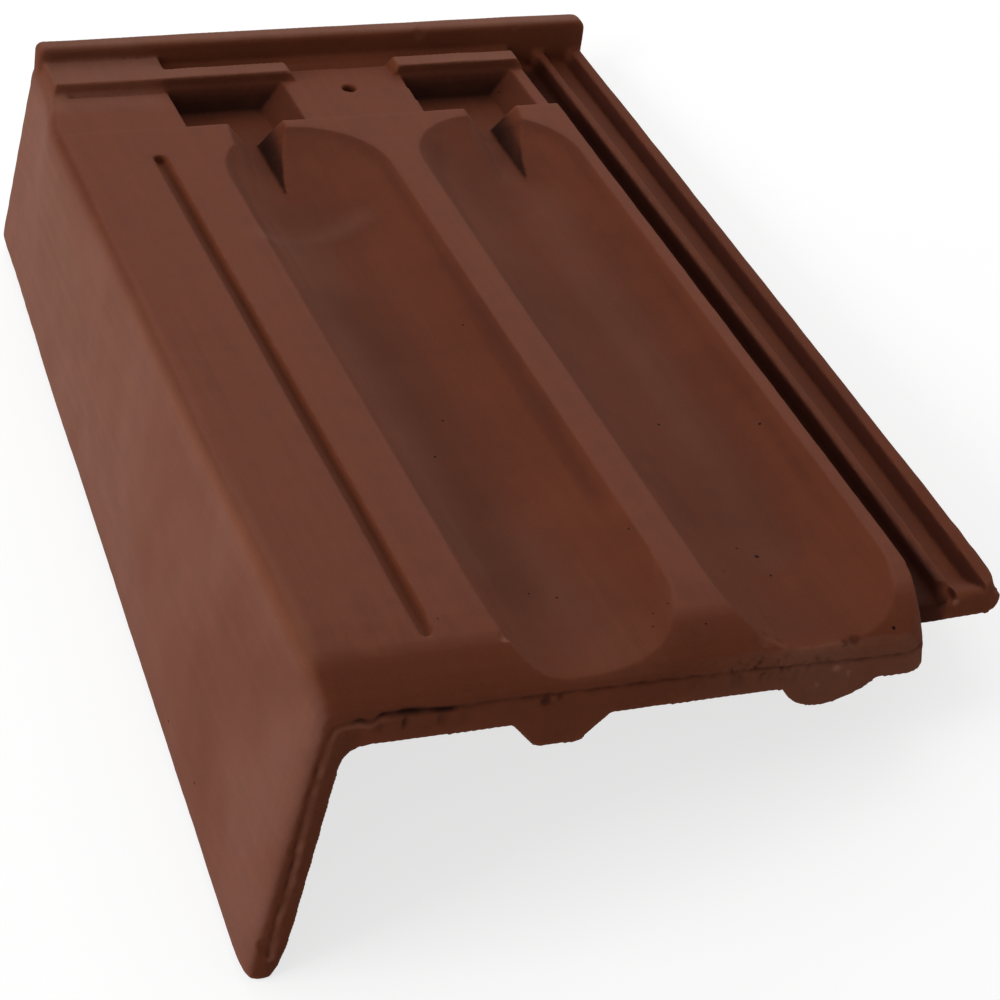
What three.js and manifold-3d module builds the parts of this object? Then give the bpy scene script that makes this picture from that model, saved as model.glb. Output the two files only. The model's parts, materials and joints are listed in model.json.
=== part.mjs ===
// A pressed clay roof tile with two troughs: the verge tile that closes the left edge of a roof.
// A skirt folds down over the gable, locks run along the head and the right side, and two nibs hang
// the tile on its batten. It is fired as one piece, so it is one solid.
//
// Millimetres. The tile is drawn as it lies on the roof: X across to the right, Y from the front
// edge up to the head, Z = 0 on the top face. At the end it is tipped to the way it lies on a floor.

import * as THREE from 'three';
import * as BufferGeometryUtils from 'three/addons/utils/BufferGeometryUtils.js';
import Module from 'manifold-3d';

const wasm = await Module();
wasm.setup();

// ---- driving dimensions -------------------------------------------------------------------------

// Plate
const tileLength = 449;
const plateWidth = 236;
const plateThickness = 13;
const frontCornerTopRadius = 36;
const frontCornerLowRadius = 10;
const frontCornerLean = 1.7;

// Front edge: the top rolls down to the mould seam, and a deeper apron closes it below
const rollLength = 44;
const rollDrop = 15.5;
const apronDepth = 26.8;
const apronThickness = 14;
const apronDraft = 3;

// Skirt
const skirtDepthFront = 128.5;
const skirtDepthHead = 89;
const skirtThickness = 14;
const skirtRootThickness = 15.5;
const skirtFootFront = -16;
const skirtFootHead = 5.4;
const foldTaper = 0.019;
const skirtRoll = 6.5;
const skirtRollLength = 20;
const skirtOuterRadius = 3.5;
const skirtInnerRadius = 6;
const skirtInnerLength = 26;
const foldRadius = 7;
const foldFillet = 9;

// Lap: the zone at the head that the tile above covers
const headLap = 65;
const lapDrop = 1.5;
const lapRound = 1;
const lapRoundLength = 3;
const lapInsetLeft = 8.5;
const lapInsetRight = 3;

// Troughs
const troughWidth = 72.3;
const troughDepth = 11;
const troughCurve = 2.4;
const troughPitch = 86.3;
const firstTroughLeft = 71.5;
const troughLowLines = [23, 31];
const troughHeadGap = 7;
const troughRampLength = 77;

// Narrow groove beside the fold
const grooveLeft = 44;
const grooveWidth = 6;
const grooveDepth = 3;
const grooveStart = 24;
const grooveHeadGap = 24;

// Pockets in the head and the throats that drain them into the troughs
const pocketLeft = 67;
const pocketPitch = 107.5;
const pocketWidth = 54;
const pocketDepth = 12.5;
const pocketLength = 36;
const pocketRightSlope = 11.5;
const pocketBackDraft = 6;
const throatLeft = 17;
const throatSlope = 10;
const throatFloor = 4;
const throatSplay = 12;
const throatStartDepth = 8.6;
const beakSlope = 11;
const beakTipSlope = 3.5;
const beakFootRun = 3.5;
const throatLength = 66;

// Ribs, channel and rim of the head lock
const headRibWidth = 8.5;
const headRibHeight = 3;
const headRibGap = 43;
const headRibEndRun = 4;
const headRibDraft = 1.5;
const headRibOverrun = 6;
const headBlockOverrun = 3;
const headChannelWidth = 11.5;
const headChannelDepth = 3.5;
const headRimWidth = 9;
const headRimHeight = 9.6;
const headRimOverhang = 1;
const headRimRound = 2.5;
const headRimLeftCorner = 1;
const headRimRightCorner = 3;
const headRimFillet = 5.5;
const shallowGrooveWidth = 3.5;
const shallowGrooveDepth = 0.9;

// Side lock
const lockWidth = 34.6;
const lockStart = 18;
const lockTop = 4.6;
const lockBottom = 20;
const lockBottomRise = 1.4;
const lockCornerTopRadius = 15;
const lockCornerLowRadius = 7;
const lockCornerLean = 1;
const lockSeam = 10;
const lockChannelWidth = 11;
const lockChannelDepth = 6.4;
const lockChannelSlope = 2.2;
const lockChannelLip = 7;
const lockChannelLipDrop = 1.2;
const lockRibWidth = 4.2;
const lockRibNose = 10;
const lockGutterWidth = 13.2;
const lockGutterDepth = 5.2;
const lockGutterSlope = 3;
const lockGutterRise = 14;
const lockGutterLipDepth = 1.2;
const lockSag = 2.1;
const lockSagLength = 120;
const lockRollDrop = 1;
const lockRollLength = 5;
const lockEdge = 1.5;
const lockLowEdge = 4.5;

// Nail hole
const nailHoleDiameter = 6.5;
const nailHoleGap = 26;

// Underside: walls under the troughs and pockets, nibs, and the two stops of the front edge
const troughWall = 12;
const pocketWall = 11;
const pocketWallDraft = 5;
const nibWidth = 34;
const nibDepth = 9.5;
const nibLength = 15;
const nibDraft = 2.5;
const stopDepth = 11;
const roundStopDepth = 9.2;
const stopWidth = 37;
const firstStopLeft = 73;
const stopPitch = 104;
const stopLength = 20;
const stopSlope = 9;

// ---- small tools --------------------------------------------------------------------------------

const above = 30;

function toSolid(geometry) {
  geometry.deleteAttribute('normal');
  geometry.deleteAttribute('uv');
  const merged = BufferGeometryUtils.mergeVertices(geometry, 1e-4);
  return new wasm.Manifold(new wasm.Mesh({
    numProp: 3,
    vertProperties: merged.attributes.position.array,
    triVerts: Uint32Array.from(merged.index.array),
  }));
}

function toGeometry(manifold) {
  const mesh = manifold.getMesh();
  const geometry = new THREE.BufferGeometry();
  geometry.setAttribute('position', new THREE.BufferAttribute(mesh.vertProperties, 3));
  geometry.setIndex(new THREE.BufferAttribute(mesh.triVerts, 1));
  return geometry;
}

function outline(...points) {
  return new THREE.Shape(points.map(([x, y]) => new THREE.Vector2(x, y)));
}

// A profile drawn in X and Z, extruded along Y.
function extrudeAlongY(profile, start, end, options = {}) {
  const geometry = new THREE.ExtrudeGeometry(profile, {
    depth: end - start, bevelEnabled: false, curveSegments: 8, ...options,
  });
  return toSolid(geometry.rotateX(Math.PI / 2).translate(0, end, 0));
}

// A profile drawn in Y and Z, extruded along X.
function extrudeAlongX(profile, start, end) {
  const geometry = new THREE.ExtrudeGeometry(profile, {
    depth: end - start, bevelEnabled: false, curveSegments: 8,
  });
  const turn = new THREE.Matrix4().makeBasis(
    new THREE.Vector3(0, 1, 0), new THREE.Vector3(0, 0, 1), new THREE.Vector3(1, 0, 0),
  );
  return toSolid(geometry.applyMatrix4(turn).translate(start, 0, 0));
}

// A plan outline in X and Y, extruded upwards.
function extrudeUp(plan, bottom, top) {
  const geometry = new THREE.ExtrudeGeometry(plan, {
    depth: top - bottom, bevelEnabled: false, curveSegments: 8,
  });
  return toSolid(geometry.translate(0, 0, bottom));
}

// The skin through sections in X and Z, one for each station along Y. Every section has the same
// number of points and runs counter-clockwise as seen from the front.
function loftGeometry(stations, sectionAt) {
  const sections = stations.map(sectionAt);
  const size = sections[0].length;
  const positions = [];
  sections.forEach((section, i) => {
    section.forEach((point) => positions.push(point.x, stations[i], point.y));
  });
  const index = [];
  for (let i = 0; i + 1 < stations.length; i += 1) {
    for (let j = 0; j < size; j += 1) {
      const a = i * size + j;
      const b = i * size + (j + 1) % size;
      index.push(a, a + size, b, b, a + size, b + size);
    }
  }
  const last = (stations.length - 1) * size;
  THREE.ShapeUtils.triangulateShape(sections[0], []).forEach(([a, b, c]) => index.push(a, b, c));
  THREE.ShapeUtils.triangulateShape(sections[stations.length - 1], [])
    .forEach(([a, b, c]) => index.push(last + a, last + c, last + b));
  const geometry = new THREE.BufferGeometry();
  geometry.setAttribute('position', new THREE.Float32BufferAttribute(positions, 3));
  geometry.setIndex(index);
  return geometry;
}

const loftAlongY = (stations, sectionAt) => toSolid(loftGeometry(stations, sectionAt));

// The same with the stations along Z and the sections drawn in X and Y, seen from above.
function loftUp(stations, sectionAt) {
  const geometry = loftGeometry(
    stations,
    (z) => sectionAt(z).map(({ x, y }) => new THREE.Vector2(x, -y)).reverse(),
  );
  return toSolid(geometry.rotateX(Math.PI / 2));
}

// A prism whose top and bottom are rectangles, in plan centred on the same middle.
function taperedBlock(x0, x1, y0, y1, bottom, top, draft) {
  const section = (y, grow) => outline(
    [x0 + grow, bottom], [x1 - grow, bottom], [x1, top], [x0, top],
  ).getPoints();
  const ends = loftAlongY([y0, y1], (y) => section(y, draft));
  const side = extrudeAlongX(outline(
    [y0 + draft, bottom], [y1 - draft, bottom], [y1, top], [y0, top],
  ), x0 - 1, x1 + 1);
  return ends.intersect(side);
}

const evenSteps = (start, end, count) => Array.from(
  { length: count + 1 },
  (_, i) => start + (end - start) * i / count,
);

// How far a rolled edge has fallen, as a share of its drop: 1 at the very edge, 0 past its length.
function rollShare(distance, length) {
  const u = THREE.MathUtils.clamp(1 - distance / length, 0, 1);
  return 1 - Math.sqrt(1 - u * u);
}

// Points of the curve that rounds a corner, from one side of it to the other.
function roundedCorner(before, corner, after, reachBefore, reachAfter, steps) {
  const start = corner.clone().add(before.clone().sub(corner).setLength(reachBefore));
  const end = corner.clone().add(after.clone().sub(corner).setLength(reachAfter));
  return new THREE.QuadraticBezierCurve(start, corner, end).getPoints(steps);
}

// ---- places that several features share ---------------------------------------------------------

const lapStart = tileLength - headLap;
const lockRight = plateWidth + lockWidth;
const lockChannelFloor = -lockTop - lockChannelDepth;
const headRimFront = tileLength - headRimWidth;
const headRibBack = headRimFront - headChannelWidth;
const headRibFront = headRibBack - headRibWidth;
const pocketBack = lapStart + pocketLength;
const pocketLefts = [pocketLeft, pocketLeft + pocketPitch];
const troughLefts = [firstTroughLeft, firstTroughLeft + troughPitch];
const throatRight = throatLeft + throatSlope + throatFloor;
const stopLefts = [firstStopLeft, firstStopLeft + stopPitch];
const nibTop = -pocketDepth - pocketWall + 1;
const nibBottom = nibTop - 1 - nibDepth;
const nibFront = pocketBack - 2;

const foldX = (y) => {
  const run = THREE.MathUtils.smoothstep(y, lapStart, headRibBack);
  return foldTaper * Math.min(y, lapStart) + lapInsetLeft * run;
};
const footX = (y) => THREE.MathUtils.mapLinear(y, 0, tileLength, skirtFootFront, skirtFootHead);
const skirtDepth = (y) => THREE.MathUtils.mapLinear(y, 0, tileLength, skirtDepthFront, skirtDepthHead);
const topZ = (y) => {
  const lap = y > lapStart ? lapDrop : lapRound * rollShare(lapStart - y, lapRoundLength);
  return -rollDrop * rollShare(y, rollLength) - lap;
};
const undersideZ = (y) => (y > apronThickness ? -plateThickness : -apronDepth);

// ---- plate, apron and skirt ---------------------------------------------------------------------

function shellSection(y) {
  const roll = skirtRoll * rollShare(y, skirtRollLength);
  const top = topZ(y);
  const under = undersideZ(y);
  const low = -skirtDepth(y);
  const outerAt = (z) => THREE.MathUtils.lerp(foldX(y), footX(y), z / low);
  const innerAt = (z) => outerAt(z) + THREE.MathUtils.lerp(skirtRootThickness, skirtThickness, z / low);
  const point = (x, z) => new THREE.Vector2(x, z);
  const fold = point(outerAt(top) + roll, top);
  const outerLow = point(outerAt(low) + roll / 4, low);
  const innerLow = point(innerAt(low), low);
  const armpit = point(innerAt(under), under);
  const farTop = point(plateWidth, top);
  const farUnder = point(plateWidth, under);
  return [
    farTop,
    ...roundedCorner(farTop, fold, outerLow, foldRadius, foldRadius, 6),
    ...roundedCorner(fold, outerLow, innerLow, skirtOuterRadius, skirtOuterRadius, 2),
    ...roundedCorner(outerLow, innerLow, armpit, skirtInnerRadius, skirtInnerLength, 4),
    ...roundedCorner(innerLow, armpit, farUnder, foldFillet, foldFillet, 4),
    farUnder,
  ];
}

const shellStations = [
  ...[0, 0.02, 0.08, 0.18, 0.32, 0.5, 0.75].map((share) => share * rollLength),
  apronThickness, apronThickness + apronDraft, rollLength,
  ...[1, 0.6, 0.3, 0.1].map((share) => lapStart - share * lapRoundLength),
  ...evenSteps(lapStart, headRibBack, 6),
  lapStart + 0.5, tileLength,
].sort((a, b) => a - b);

const shell = loftAlongY(shellStations, shellSection);

// What the rounding takes off a front corner from one height upwards. It leans back, because its
// radius grows from a low height to a high one, most of all near the top.
function roundedFrontCorner(start, { right, front, low, lowRadius, high, highRadius, lean }) {
  const heights = [0, 0.35, 0.6, 0.8, 1]
    .map((share) => THREE.MathUtils.lerp(low, high, share))
    .filter((z) => z > start);
  return loftUp([start, ...heights, above], (z) => {
    const share = THREE.MathUtils.clamp((z - low) / (high - low), 0, 1);
    const radius = THREE.MathUtils.lerp(lowRadius, highRadius, share ** lean);
    const arc = new THREE.EllipseCurve(
      right - radius, front + radius, radius, radius, 0, -Math.PI / 2, true,
    );
    return [
      new THREE.Vector2(right - radius, front - 1),
      new THREE.Vector2(right + 1, front - 1),
      new THREE.Vector2(right + 1, front + radius),
      ...arc.getPoints(8),
    ];
  });
}

const plateCorner = {
  right: plateWidth,
  front: 0,
  low: -apronDepth,
  lowRadius: frontCornerLowRadius,
  high: 0,
  highRadius: frontCornerTopRadius,
  lean: frontCornerLean,
};

// Under the tile above, the plate is narrower along the lock.
function lapEdge() {
  return extrudeAlongY(outline(
    [plateWidth - lapInsetRight + 1, lockChannelFloor], [plateWidth + 1, lockChannelFloor],
    [plateWidth + 1, above], [plateWidth - lapInsetRight, above], [plateWidth - lapInsetRight, 0],
  ), lapStart, headRimFront);
}

// ---- troughs ------------------------------------------------------------------------------------

const troughHead = lapStart - troughHeadGap;
const troughRadius = troughWidth / 2;
const troughStraightEnd = troughHead - troughRadius;
const troughRampStart = troughHead - troughRampLength;

function troughSize(y) {
  const out = Math.max(0, (y - troughStraightEnd) / troughRadius);
  const ramp = Math.max(0, (y - troughRampStart) / troughRampLength);
  return {
    half: Math.max(troughRadius * Math.sqrt(Math.max(0, 1 - out * out)), 0.4),
    depth: Math.max(troughDepth * (1 - ramp * ramp), 0.02),
  };
}

// The hollow of one trough, or with a wall the solid bulge that carries it underneath. Its lowest
// line lies left of the middle, so the right side rises more gently than the left.
function trough(left, lowLine, wall) {
  const centre = left + troughRadius;
  const low = lowLine / troughRadius - 1;
  const stations = [
    wall > 0 ? apronThickness - 2 : -1,
    ...evenSteps(troughRampStart, troughStraightEnd, 4),
    ...[0.3, 0.5, 0.68, 0.82, 0.92, 0.98, 1].map((share) => troughStraightEnd + share * troughRadius),
  ];
  return loftAlongY(stations, (y) => {
    const { half, depth } = troughSize(y);
    const lid = wall > 0 ? 3 - plateThickness : above;
    const sides = 16;
    const arc = evenSteps(-1, 1, sides).map((u) => {
      const rise = Math.abs(u - low) / (u > low ? 1 - low : 1 + low);
      const sink = depth * (1 - rise ** troughCurve);
      return new THREE.Vector2(centre + u * (half + wall / 2), -wall - sink);
    });
    return [
      ...arc,
      new THREE.Vector2(centre + half + wall / 2, lid),
      new THREE.Vector2(centre - half - wall / 2, lid),
    ];
  });
}

// ---- pockets, throats and beaks -----------------------------------------------------------------

// The pocket: upright at its left and front, sloped on the right and with draft at the back.
function pocket(left) {
  const right = left + pocketWidth;
  const across = extrudeAlongY(outline(
    [left, -pocketDepth], [right - pocketRightSlope, -pocketDepth],
    [right, 0], [right, above], [left, above],
  ), lapStart, pocketBack + 10);
  const along = extrudeAlongX(outline(
    [lapStart, -pocketDepth], [pocketBack - pocketBackDraft, -pocketDepth],
    [pocketBack, headRibHeight], [pocketBack, above], [lapStart, above],
  ), left - 1, right + 1);
  return across.intersect(along);
}

// The throat: it leaves the pocket between the plate and the beak, widens to the left and dies out
// in the trough. The beak's wall on its right grows steeper towards the tip of the beak.
function throat(left) {
  const start = lapStart - throatLength;
  const stations = [...evenSteps(start, lapStart, 4), lapStart + 1];
  return loftAlongY(stations, (y) => {
    const share = Math.min(1, (y - start) / throatLength);
    const depth = THREE.MathUtils.lerp(throatStartDepth, pocketDepth, share);
    const floorLeft = left + throatLeft + throatSlope - throatSplay * (1 - share);
    const floorRight = left + throatRight - beakFootRun * (1 - share);
    const leftTop = floorLeft - throatSlope * depth / pocketDepth;
    const rightTop = floorRight + THREE.MathUtils.lerp(beakTipSlope, beakSlope, share);
    return outline(
      [floorLeft, -depth], [floorRight, -depth], [rightTop, 0],
      [rightTop, above], [leftTop, above], [leftTop, 0],
    ).getPoints();
  });
}

// ---- head lock ----------------------------------------------------------------------------------

// The rim along the head, rounded on its top edges and at both ends.
function headRim() {
  const left = foldX(tileLength) + headRimRound;
  const right = lockRight + headRimOverhang - headRimRound;
  const low = -plateThickness + headRimRound;
  const top = headRimHeight - headRimRound;
  const leftMiddle = left + headRimLeftCorner;
  const rightMiddle = right - headRimRightCorner;
  const shape = new THREE.Shape();
  shape.moveTo(left, low);
  shape.lineTo(right, low);
  shape.lineTo(right, top - headRimRightCorner);
  shape.absarc(rightMiddle, top - headRimRightCorner, headRimRightCorner, 0, Math.PI / 2, false);
  shape.lineTo(leftMiddle, top);
  shape.absarc(leftMiddle, top - headRimLeftCorner, headRimLeftCorner, Math.PI / 2, Math.PI, false);
  return extrudeAlongY(shape, headRimFront + headRimRound, tileLength - headRimRound, {
    bevelEnabled: true, bevelThickness: headRimRound, bevelSize: headRimRound, bevelSegments: 3,
  });
}

// A band raised to the height of the second rib, its sides and ends running down to the plate.
function raisedBand(left, right, leftRun, rightRun, back) {
  const root = -plateThickness + 1;
  const foot = -lapDrop - headRibDraft;
  const lengthwise = extrudeAlongY(outline(
    [left, root], [right, root], [right, foot],
    [right - rightRun, headRibHeight], [left + leftRun, headRibHeight], [left, foot],
  ), headRibFront - headRibDraft, back + headRibDraft);
  const crosswise = extrudeAlongX(outline(
    [headRibFront - headRibDraft, root], [back + headRibDraft, root],
    [back + headRibDraft, foot], [back, headRibHeight],
    [headRibFront, headRibHeight], [headRibFront - headRibDraft, foot],
  ), left - 1, right + 1);
  return lengthwise.intersect(crosswise);
}

// The second rib is broken between the two pockets.
function headRibs() {
  const breakLeft = pocketLefts[0] + pocketWidth + headRibOverrun;
  return [
    raisedBand(foldX(tileLength) + 1, breakLeft, headRibDraft, headRibEndRun, headRibBack),
    raisedBand(
      breakLeft + headRibGap, plateWidth - headRibDraft, headRibEndRun, headRibEndRun, headRibBack,
    ),
  ];
}

// Left of the first pocket the channel is filled up to the height of the rib, out to the skirt.
function headBlock() {
  return raisedBand(
    foldX(tileLength) + 1, pocketLeft + headBlockOverrun, headRibDraft, headRibDraft, headRimFront,
  );
}

// The channel between rib and rim, with a fillet up the rim.
function headChannel() {
  const floor = -headChannelDepth;
  const middle = headRimFront - headRimFillet;
  const profile = new THREE.Shape();
  profile.moveTo(headRibBack, above);
  profile.lineTo(headRibBack, floor);
  profile.lineTo(middle, floor);
  profile.absarc(middle, floor + headRimFillet, headRimFillet, -Math.PI / 2, 0, false);
  profile.lineTo(headRimFront, above);
  return extrudeAlongX(profile, pocketLeft + headBlockOverrun - 1, plateWidth + 1);
}

function shallowGroove() {
  const back = headRibFront - headRibDraft;
  const floor = -lapDrop - shallowGrooveDepth;
  return extrudeAlongX(outline(
    [back - shallowGrooveWidth, -lapDrop], [back - shallowGrooveWidth / 2, floor], [back, floor],
    [back, above], [back - shallowGrooveWidth, above],
  ), foldX(tileLength) + foldRadius, pocketLeft + 1);
}

// ---- side lock ----------------------------------------------------------------------------------

// The top of the lock sags a little towards the front and rolls off at its front edge.
const lockSteps = [
  ...evenSteps(lockStart, lockStart + lockRollLength, 4),
  ...evenSteps(lockStart + lockRollLength, lockStart + lockGutterRise, 3).slice(1),
  ...evenSteps(lockStart + lockGutterRise, lockStart + lockSagLength, 5).slice(1),
];

function lockTopZ(y) {
  const run = y - lockStart;
  const sag = THREE.MathUtils.clamp(1 - run / lockSagLength, 0, 1) ** 1.3;
  return -lockTop - lockSag * sag - lockRollDrop * rollShare(run, lockRollLength);
}

function sideLock() {
  const top = -lockTop;
  const low = lockBottomRise - lockBottom;
  const side = [
    [lockStart + 1, -lockBottom],
    [lockStart, -lockBottom + 1],
    ...lockSteps.map((y) => [y, lockTopZ(y)]),
    [tileLength, top],
    [tileLength, -lockBottom],
  ];
  const body = extrudeAlongX(outline(...side.reverse()), plateWidth - 6, lockRight);
  const section = extrudeAlongY(outline(
    [plateWidth - 6, -lockBottom], [lockRight - lockLowEdge, low],
    [lockRight - lockEdge, low + lockEdge], [lockRight, low + lockLowEdge],
    [lockRight, top - lockEdge], [lockRight - lockEdge, top], [plateWidth - 6, top],
  ), lockStart, tileLength);
  return body.intersect(section).subtract(
    roundedFrontCorner(-lockSeam, {
      right: lockRight,
      front: lockStart,
      low: -lockSeam,
      lowRadius: lockCornerLowRadius,
      high: top,
      highRadius: lockCornerTopRadius,
      lean: lockCornerLean,
    }),
  );
}

// The deep channel beside the plate is open at the front, where its floor rolls down to the seam.
function lockChannel() {
  const right = plateWidth + lockChannelWidth;
  const stations = [
    lockStart - 1,
    ...[0, 0.1, 0.3, 0.6, 1].map((share) => lockStart + share * lockChannelLip),
    headRimFront,
  ];
  return loftAlongY(stations, (y) => {
    const floor = lockChannelFloor - lockChannelLipDrop * rollShare(y - lockStart, lockChannelLip);
    return outline(
      [plateWidth, floor], [right - lockChannelSlope, floor], [right, -lockTop],
      [right, above], [plateWidth, above],
    ).getPoints();
  });
}

// At the front the rib beside the channel slopes down to the channel's floor.
function lockRibNoseCut() {
  const end = lockStart + lockRibNose;
  const foot = lockStart + lockRibNose / 3;
  return extrudeAlongX(outline(
    [lockStart - 1, lockChannelFloor], [foot, lockChannelFloor + 1], [end - 1, -lockTop - 1],
    [end + 1, -lockTop], [end + 1, above], [lockStart - 1, above],
  ), plateWidth + 1, plateWidth + lockChannelWidth + lockRibWidth);
}

// The gutter outside the rib rises towards the front and runs out over the edge almost level.
function lockGutter() {
  const left = plateWidth + lockChannelWidth + lockRibWidth;
  const right = left + lockGutterWidth;
  const stations = [
    lockStart - 1,
    ...lockSteps,
    headRimFront,
  ];
  return loftAlongY(stations, (y) => {
    const rise = THREE.MathUtils.smoothstep(lockStart + lockGutterRise - y, 0, lockGutterRise);
    const top = lockTopZ(y);
    const depth = THREE.MathUtils.lerp(lockGutterDepth, lockGutterLipDepth, rise);
    const slope = lockGutterSlope * depth / lockGutterDepth;
    return outline(
      [left + 1, top - depth], [right - slope, top - depth], [right, top],
      [right, above], [left, above], [left, top],
    ).getPoints();
  });
}

// ---- groove and nail hole -----------------------------------------------------------------------

function foldGroove() {
  const radius = grooveWidth / 2;
  const x = grooveLeft + radius;
  const end = lapStart - grooveHeadGap;
  const section = extrudeAlongY(outline(
    [x - radius * 0.45, -grooveDepth], [x + radius * 0.45, -grooveDepth],
    [x + radius, 0], [x + radius, above], [x - radius, above], [x - radius, 0],
  ), grooveStart, end);
  const plan = new THREE.Shape();
  plan.absarc(x, end - radius, radius, 0, Math.PI, false);
  plan.absarc(x, grooveStart + radius, radius, Math.PI, Math.PI * 2, false);
  return section.intersect(extrudeUp(plan, -grooveDepth - 1, above));
}

// The nail hole lies midway between the two pockets.
function nailHole() {
  const radius = nailHoleDiameter / 2;
  const x = (pocketLefts[0] + pocketWidth + pocketLefts[1]) / 2;
  const geometry = new THREE.CylinderGeometry(radius, radius, apronDepth + above, 20);
  return toSolid(geometry.rotateX(Math.PI / 2).translate(x, lapStart + nailHoleGap, 0));
}

// ---- underside ----------------------------------------------------------------------------------

// The walls of a pocket reach forward under its throat.
function pocketWalls(left) {
  const bottom = -pocketDepth - pocketWall;
  const top = -plateThickness + 2;
  const side = pocketWallDraft * 2;
  return taperedBlock(
    left - side, left + pocketWidth + side, lapStart - side, pocketBack + side,
    bottom, top, pocketWallDraft,
  ).add(taperedBlock(
    left + throatLeft - side, left + throatRight + side,
    lapStart - throatLength * 0.7, lapStart, bottom + 1, top, pocketWallDraft,
  ));
}

function nib(left) {
  const middle = left + pocketWidth / 2;
  return taperedBlock(
    middle - nibWidth / 2, middle + nibWidth / 2, nibFront, nibFront + nibLength,
    nibBottom, nibTop, nibDraft,
  );
}

// The stops under the front edge drop into the pockets of the tile below: one cut flat, one round.
function frontStop(left, round) {
  const right = left + stopWidth;
  const top = -apronDepth + 4;
  const low = -apronDepth - stopDepth;
  const shape = new THREE.Shape();
  shape.moveTo(right, top);
  shape.lineTo(left, top);
  shape.lineTo(left, -apronDepth);
  if (round) {
    const pull = -apronDepth - roundStopDepth * 4 / 3;
    shape.bezierCurveTo(left + stopSlope / 2, pull, right - stopSlope * 1.5, pull, right, -apronDepth);
  } else {
    shape.lineTo(left + stopSlope, low + 1);
    shape.lineTo(left + stopSlope + 2.5, low);
    shape.lineTo(right - stopSlope - 4, low);
    shape.lineTo(right - stopSlope - 1, low + 0.8);
    shape.lineTo(right, -apronDepth);
  }
  return extrudeAlongY(shape, 0, stopLength);
}

// ---- the tile -----------------------------------------------------------------------------------

const troughWalls = troughLefts.map((left, i) => trough(left, troughLowLines[i], troughWall));
const added = [
  ...pocketLefts.map(pocketWalls),
  ...pocketLefts.map(nib),
  ...stopLefts.map((left, i) => frontStop(left, i === 1)),
  sideLock(),
  headRim(),
];
const raised = [
  ...headRibs(),
  headBlock(),
];
const hollows = [
  roundedFrontCorner(lockChannelFloor, plateCorner),
  lapEdge(),
  ...troughLefts.map((left, i) => trough(left, troughLowLines[i], 0)),
  ...pocketLefts.map(pocket),
  ...pocketLefts.map(throat),
  lockChannel(),
  lockRibNoseCut(),
  lockGutter(),
  foldGroove(),
  nailHole(),
  shallowGroove(),
];

let tile = troughWalls.reduce((whole, piece) => whole.add(piece), shell);
tile = tile.subtract(roundedFrontCorner(-apronDepth - 1, plateCorner));
tile = added.reduce((whole, piece) => whole.add(piece), tile);
tile = tile.subtract(headChannel());
tile = raised.reduce((whole, piece) => whole.add(piece), tile);
tile = hollows.reduce((whole, piece) => whole.subtract(piece), tile);

// ---- placing ------------------------------------------------------------------------------------

// On a floor the tile lies on the lower edge of its skirt and on the head corner of its side lock.
function floorRotation() {
  const footAt = (y) => new THREE.Vector3(
    footX(y) + skirtThickness - skirtInnerRadius, y, -skirtDepth(y),
  );
  const frontLow = footAt(0);
  const headLow = footAt(tileLength);
  const lockLow = new THREE.Vector3(
    lockRight - lockLowEdge, tileLength, lockBottomRise - lockBottom,
  );
  const along = headLow.clone().sub(frontLow);
  const up = new THREE.Vector3().crossVectors(lockLow.clone().sub(frontLow), along).normalize();
  const forward = new THREE.Vector3(0, 1, 0).projectOnPlane(up).normalize();
  const across = new THREE.Vector3().crossVectors(forward, up);
  return new THREE.Matrix4().makeBasis(across, forward, up).transpose();
}

const fired = new THREE.MeshStandardMaterial({ color: 0x6b4136, roughness: 0.85, metalness: 0 });
const geometry = toGeometry(tile);
const tileMesh = new THREE.Mesh(geometry, fired);
tileMesh.name = 'verge_tile';

const rotation = floorRotation();
const lying = geometry.clone().applyMatrix4(rotation);
lying.computeBoundingBox();
const { min, max } = lying.boundingBox;
const group = new THREE.Group();
group.quaternion.setFromRotationMatrix(rotation);
group.position.set(-(min.x + max.x) / 2, -(min.y + max.y) / 2, -min.z);
group.add(tileMesh);

export default group;
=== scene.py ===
"""A fired clay verge tile in a small studio.

The tile lies on a pale floor. Its solid is dressed as one piece: the soft edges of pressed clay, the
ragged seam that the mould leaves along the front, small chips and pits, and a matt dark engobe.
Lengths are millimetres in the tile's own axes (X across from the skirt to the lock, Y from the front
edge to the head, Z up from the plate) and are turned into the scene's metres by tile_place. Only the
studio's are metres.
"""

import json
import math

import bmesh
import bpy
import numpy as np
from mathutils import Matrix, Vector


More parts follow.
